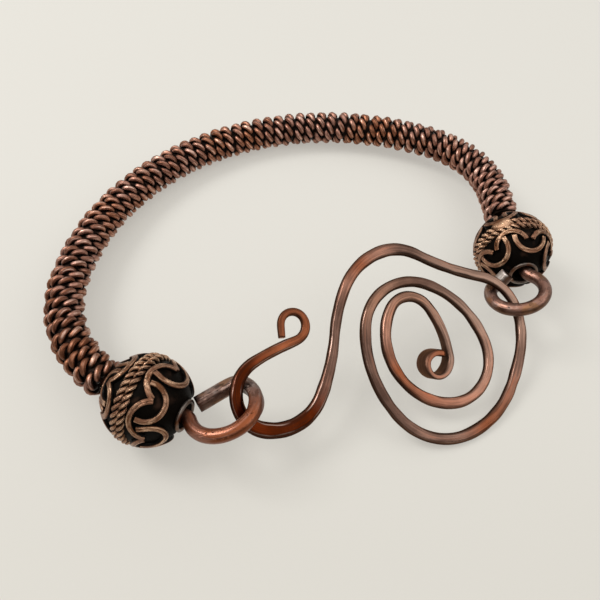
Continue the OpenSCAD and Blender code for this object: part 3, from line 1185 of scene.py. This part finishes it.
class BRACELET_OT_beads(bpy.types.Operator):
    """Two beads with ropes, scrolls and collars"""

    bl_idname = "bracelet.beads"
    bl_label = "Beads"

    def body(self, name, place, radius, lumps, patch, material):
        """Ball with a hole, turned about X, and a mark of how worn each point is."""
        rings, hole_rings, around = 90, 6, 144
        bend = math.asin(BEAD_HOLE / radius)
        lats = np.linspace(-math.pi / 2 + bend, math.pi / 2 - bend, rings)
        profile = [(radius * math.sin(a), radius * math.cos(a)) for a in lats]
        hole = np.linspace(profile[-1][0], profile[0][0], hole_rings + 2)[1:-1]
        profile += [(x, BEAD_HOLE) for x in hole]
        verts, worn = [], []
        lon, lat, wide, tall, proud = patch
        for x, r in profile:
            for k in range(around):
                turn = TAU * k / around
                point = Vector((x, r * math.sin(turn), r * math.cos(turn)))
                share = 0.0
                if r > BEAD_HOLE:
                    point *= 1 + 0.006 * noise.noise(point * 0.55 + Vector((lumps, 0, 0)))
                    aside = (math.degrees(turn) - lon + 180) % 360 - 180
                    up = math.degrees(math.atan2(x, r)) - lat
                    away = math.hypot(aside / wide, up / tall)
                    share = max(0.0, min(1.0, 2.2 * (1.25 - away)))
                    point *= 1 + share * share * (3 - 2 * share) * proud / radius
                verts.append((place @ point) * MM)
                worn.append(share)
        grid = np.arange(len(verts)).reshape(-1, around)
        below = np.roll(grid, -1, 0)
        corners = [grid, below, np.roll(below, -1, 1), np.roll(grid, -1, 1)]
        mesh = bpy.data.meshes.new(name)
        mesh.from_pydata(verts, [], np.stack(corners, -1).reshape(-1, 4).tolist())
        marked(mesh, "worn", worn)
        mesh.polygons.foreach_set("use_smooth", [True] * len(mesh.polygons))
        mesh.materials.append(material)
        return mesh

    def circle(self, place, x, radius, start, count):
        """Points of a ring about the bead's hole, in metres."""
        return [
            (place @ Vector((x, radius * math.cos(a), radius * math.sin(a)))) * MM
            for a in full_turn(count) + start
        ]

    def scroll(self, row, seat, mirrored, shift):
        """Centre line of one scroll on the ball, in millimetres: an arc, whose arms run on
        straight past a quarter turn."""
        lon, lat, reach, opening, mouth = row
        lon, lat = math.radians(lon), math.radians(lat)
        level = math.cos(lat)
        middle = Vector((math.sin(lat), level * math.sin(lon), level * math.cos(lon)))
        east = Vector((0, math.cos(lon), -math.sin(lon)))
        north = middle.cross(east) * -1
        line = []
        for turn in np.linspace(-opening, opening, SCROLL_POINTS):
            bent = math.radians(max(-90, min(90, turn)))
            arm = reach * math.radians(max(0, abs(turn) - 90))
            across, up = reach * math.sin(bent), arm - reach * math.cos(bent)
            away = math.radians(math.hypot(across, up))
            way = (east * across + north * up * mouth).normalized()
            point = middle * math.cos(away) + way * math.sin(away)
            if mirrored:
                point.x = -point.x
            line.append((point * seat + Vector((shift, 0, 0))).normalized() * seat)
        return line

    def execute(self, context):
        sizes = context.scene.bracelet_sizes
        look = context.scene.bracelet_look
        black, brown, grey = bead_body_finish(look), bead_wire_finish(look), collar_finish(look)
        pair_nodes, ball_nodes = twisted_pair_nodes(), ball_wire_nodes()
        radius, strand = sizes.bead / MM / 2, sizes.rope
        for bead, place in zip(BEADS, (at_left(), at_right(0.5))):
            name, scrolls, shift, lumps, patch, twists = bead
            made = [self.body(name + "_body", place, radius, lumps, patch, black)]
            ring = radius + ROPE_PROUD
            for x, phase in ((shift - ROPE_APART, 0.0), (shift + ROPE_APART, 0.25)):
                around = math.sqrt(ring * ring - x * x)
                circle = self.circle(place, x, around, phase * TAU / twists, ROPE_POINTS)
                rope = pair_nodes.run(
                    chain_mesh(name + "_rope", [circle], closed=True),
                    length=TAU * around * MM,
                    stations=twists * ROPE_STATIONS,
                    sides=STRAND_SIDES,
                    strand_thickness=strand,
                    pair_radius=strand * 0.52,
                    twists=float(twists),
                    closed=True,
                    seed=1.0,
                    plane_normal=facing(place, (1, 0, 0)).normalized(),
                    # From foot to crown the rope goes from oxide with painted shade between its strands
                    # to worn metal with painted highlight
                    foot=strand * 0.42,
                    crown=strand * 1.02,
                    material=brown,
                )
                made.append(rope)
            seat = radius + SCROLL_PROUD
            paths = [
                [(place @ p) * MM for p in self.scroll(row, seat, mirrored, shift)]
                for mirrored in (False, True)
                for row in scrolls
            ]
            wires = ball_nodes.run(
                chain_mesh(name + "_scrolls", paths),
                centre=place.translation * MM,
                wire_width=sizes.scroll_width,
                wire_height=sizes.scroll_height,
                groove=0.08 * MM,
                unevenness=0.5,
                material=brown,
            )
            end = radius - COLLAR_SUNK
            ends = [
                self.circle(place, x, sizes.collar / MM, 0, COLLAR_POINTS) for x in (-end, end)
            ]
            collars = ball_nodes.run(
                chain_mesh(name + "_collars", ends, closed=True),
                centre=place.translation * MM,
                wire_width=COLLAR_WIRE * MM,
                wire_height=COLLAR_WIRE * MM,
                groove=0.0,
                unevenness=0.5,
                material=grey,
            )
            placed(name + "_made", [*made, wires, collars], name)
        return {"FINISHED"}


class BRACELET_OT_clasp(bpy.types.Operator):
    """Hammered hook and spiral"""

    bl_idname = "bracelet.clasp"
    bl_label = "Clasp"

    def execute(self, context):
        # Columns: x, y, heading, distance, width, thickness, rise
        tip = (0.0, 0.0, TIP, TIP, 0.0)
        rows = walk((tip, *CLASP), CLASP_START, CLASP_SPACING)[2:]
        eased = [0, 1, 4, 5, 6]
        rows[:, eased] = softened(rows[:, eased], 2.2)
        centres = carried(on_clasp(), rows[:, [0, 1, 6]])
        up = np.tile(facing(on_clasp()), (len(rows), 1))
        sides, ups = squared_to(up, directions(centres))
        gone = rows[:, 3]
        lean = np.clip((gone - gone[-1] + HEART) / HEART_LEAN_OVER, 0, 1)[:, None]
        ups = ups + lean * np.array(facing(on_clasp(), (*HEART_LEAN, 0)))
        width = (rows[:, 4] * (1 + 0.035 * waver(gone, 2.1, 3)))[:, None]
        thick = (rows[:, 5] * (1 + 0.05 * waver(gone, 1.7, 4)))[:, None]
        corner_x, corner_y, in_x, in_y, flat = oblong(CORNER_POINTS).T
        wide = BEVEL_WIDE * width * (1 + 0.3 * waver(gone, 2.6, 8)[:, None])
        deep = BEVEL_DEEP * np.minimum(thick, 1.15) * (1 - 0.5 * lean)
        x = corner_x * (width / 2 - wide) + in_x * wide
        y = corner_y * (thick / 2 - deep) + in_y * deep
        tilt = 0.07 * waver(gone, 1.9, 6)[:, None]
        crown = 0.03 * (1 - (2 * x / width) ** 2)
        y = y + np.sign(corner_y) * crown * (np.abs(in_y) > 0.5) + tilt * x
        outlines = np.stack([x, y], -1)
        copper = clasp_finish(context.scene.bracelet_look)
        mesh = swept("clasp_made", centres, sides, ups, outlines, {"flat": flat}, copper)
        placed("clasp_made", [mesh], "clasp")
        return {"FINISHED"}


class BRACELET_OT_stage(bpy.types.Operator):
    """Table, lights and camera"""

    bl_idname = "bracelet.stage"
    bl_label = "Stage"

    def execute(self, context):
        scene = context.scene
        stage = scene.bracelet_stage
        mesh = bpy.data.meshes.new("table")
        half = TABLE_HALF
        corners = [(-half, -half, 0), (half, -half, 0), (half, half, 0), (-half, half, 0)]
        mesh.from_pydata(corners, [], [(0, 1, 2, 3)])
        mesh.materials.append(floor_finish(scene.bracelet_look))
        linked("table", mesh)
        for name, place, width, share in LAMPS:
            lamp = bpy.data.lights.new(name, "AREA")
            lamp.energy = stage.key * share
            lamp.size = width
            lamp.shape = "DISK"
            body = linked(name, lamp)
            body.location = place
            body.rotation_euler = (-Vector(place)).to_track_quat("-Z", "Y").to_euler()
        world = bpy.data.worlds.new("room")
        world.use_nodes = True
        g = Graph(world.node_tree)
        where = g.add("ShaderNodeTexCoord", out="Generated")
        # A bright ceiling, pale walls and a dark side behind the camera
        front = g.toward_front(where).between(0.05, 0.75)
        wall = g.mixed(front, (0.50, 0.49, 0.475, 1), (0.05, 0.045, 0.04, 1))
        high = g.split(where).of("Z").between(0.25, 0.85)
        light = g.mixed(high, wall, (1.35, 1.34, 1.32, 1))
        g.fill(world.node_tree.nodes["Background"], {"Color": light, "Strength": stage.sky})
        scene.world = world
        camera = bpy.data.cameras.new("camera")
        camera.lens = 39.0
        camera.sensor_width = 36.0
        camera.clip_start = 0.005
        camera.clip_end = 20.0
        eye = linked("camera", camera)
        turn = Matrix.Rotation(-stage.heading, 4, "Z")
        turn = turn @ Matrix.Rotation(math.pi / 2 - stage.down, 4, "X")
        turn = turn @ Matrix.Rotation(stage.roll, 4, "Z")
        eye.matrix_world = Matrix.Translation(stage.place) @ turn
        scene.camera = eye
        scene.view_settings.view_transform = "Standard"
        return {"FINISHED"}


class BRACELET_PT_panel(bpy.types.Panel):
    """Lists the bracelet's pieces and settings"""

    bl_idname = "BRACELET_PT_panel"
    bl_label = "Wire Bracelet"
    bl_space_type = "VIEW_3D"
    bl_region_type = "UI"
    bl_category = "Bracelet"

    def draw(self, context):
        layout = self.layout
        for operator in OPERATORS:
            layout.operator(operator.bl_idname)
        for label in ("bracelet_sizes", "bracelet_look", "bracelet_stage"):
            settings = getattr(context.scene, label)
            box = layout.box()
            for prop in settings.__annotations__:
                box.prop(settings, prop)


GROUPS = (BraceletSizes, BraceletLook, BraceletStage)
OPERATORS = (
    BRACELET_OT_stage,
    BRACELET_OT_core,
    BRACELET_OT_coil,
    BRACELET_OT_beads,
    BRACELET_OT_clasp,
)
CLASSES = (*GROUPS, *OPERATORS, BRACELET_PT_panel)


def register():
    for item in CLASSES:
        bpy.utils.register_class(item)
    scene = bpy.types.Scene
    scene.bracelet_sizes = bpy.props.PointerProperty(type=BraceletSizes)
    scene.bracelet_look = bpy.props.PointerProperty(type=BraceletLook)
    scene.bracelet_stage = bpy.props.PointerProperty(type=BraceletStage)


def unregister():
    del bpy.types.Scene.bracelet_stage
    del bpy.types.Scene.bracelet_look
    del bpy.types.Scene.bracelet_sizes
    for item in reversed(CLASSES):
        bpy.utils.unregister_class(item)


def main():
    register()
    bpy.ops.bracelet.stage()
    bpy.ops.bracelet.core()
    bpy.ops.bracelet.coil()
    bpy.ops.bracelet.beads()
    bpy.ops.bracelet.clasp()


if __name__ == "__main__":
    main()
